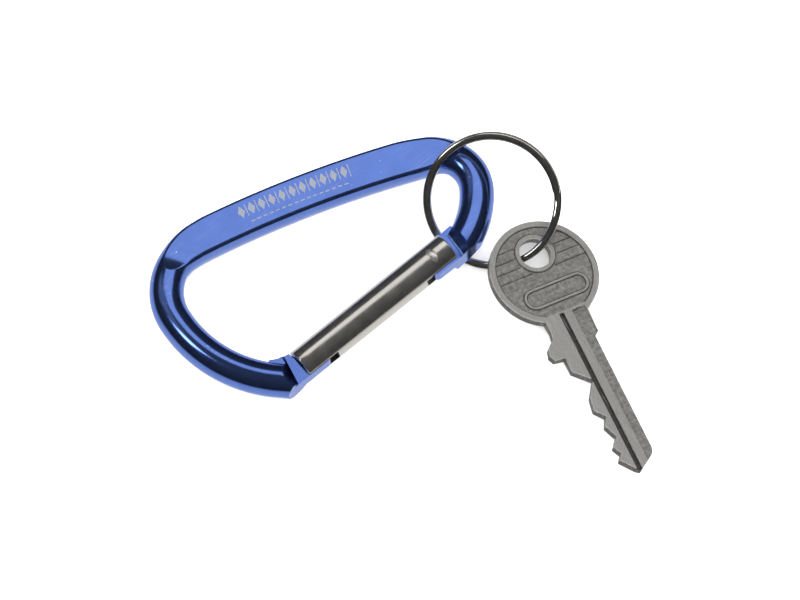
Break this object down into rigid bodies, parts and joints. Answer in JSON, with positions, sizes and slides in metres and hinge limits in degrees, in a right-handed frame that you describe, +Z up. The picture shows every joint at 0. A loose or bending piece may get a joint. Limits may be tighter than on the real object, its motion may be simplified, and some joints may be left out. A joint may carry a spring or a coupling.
{
  "type": "carabiner keyring",
  "caption": "Bent-bar snap hook with a sprung tubular gate that opens inward, carrying a two-turn split ring with a flat cylinder-lock key.",
  "frame": {"origin": "middle of the part's footprint, on the surface it lies on", "axes": "+Z up from that surface, +X to the right along the longest extent with the nose of the clip on the left, +Y away from the viewer"},
  "size_m": [0.1006, 0.0698, 0.0169],
  "materials": {
    "blue_anodised": "polished, blue anodised",
    "gate_steel": "polished, nickel plated",
    "rivet_steel": "polished, peened",
    "plunger_steel": "turned",
    "spring_steel": "bright drawn wire",
    "ring_steel": "nickel plated, hardened spring steel",
    "key_nickel": "coined nickel silver, satin with worn edges"
  },
  "bodies": {
    "clip": {"frame": "blue_anodised"},
    "gate": {"gate_tube": "gate_steel", "pivot_rivet": "rivet_steel", "spring": "spring_steel"},
    "plunger": {"plunger": "plunger_steel"},
    "ring": {"split_ring": "ring_steel"},
    "key": {"key": "key_nickel"}
  },
  "joints": [
    {"name": "gate_hinge", "type": "hinge", "parent": "clip", "child": "gate", "pos_m": [0.00641, 0.00878, 0.00652], "axis": [0.0482, 0.0402, -0.998], "range_deg": [0, 40], "stiffness_Nm_per_rad": 0.0016, "springref_deg": -177.62, "deforming": ["spring"]},
    {"name": "plunger_slide", "type": "slide", "parent": "gate", "child": "plunger", "axis": [-0.7663, -0.6394, -0.0628], "range_m": [0, 0.0007]},
    {"name": "ring_lift", "type": "hinge", "parent": "clip", "child": "ring", "pos_m": [0.01591, 0.01172, 0.0021], "axis": [0.9669, -0.2551, 0], "range_deg": [0, 35]},
    {"name": "key_slide", "type": "hinge", "parent": "ring", "child": "key", "pos_m": [0.01835, 0.02099, 0.00844], "axis": [-0.1407, -0.5331, 0.8343], "range_deg": [0, 120]}
  ],
  "couplings": [
    {"joint": "plunger_slide", "follows": "gate_hinge", "m_per_rad": 0.001}
  ]
}
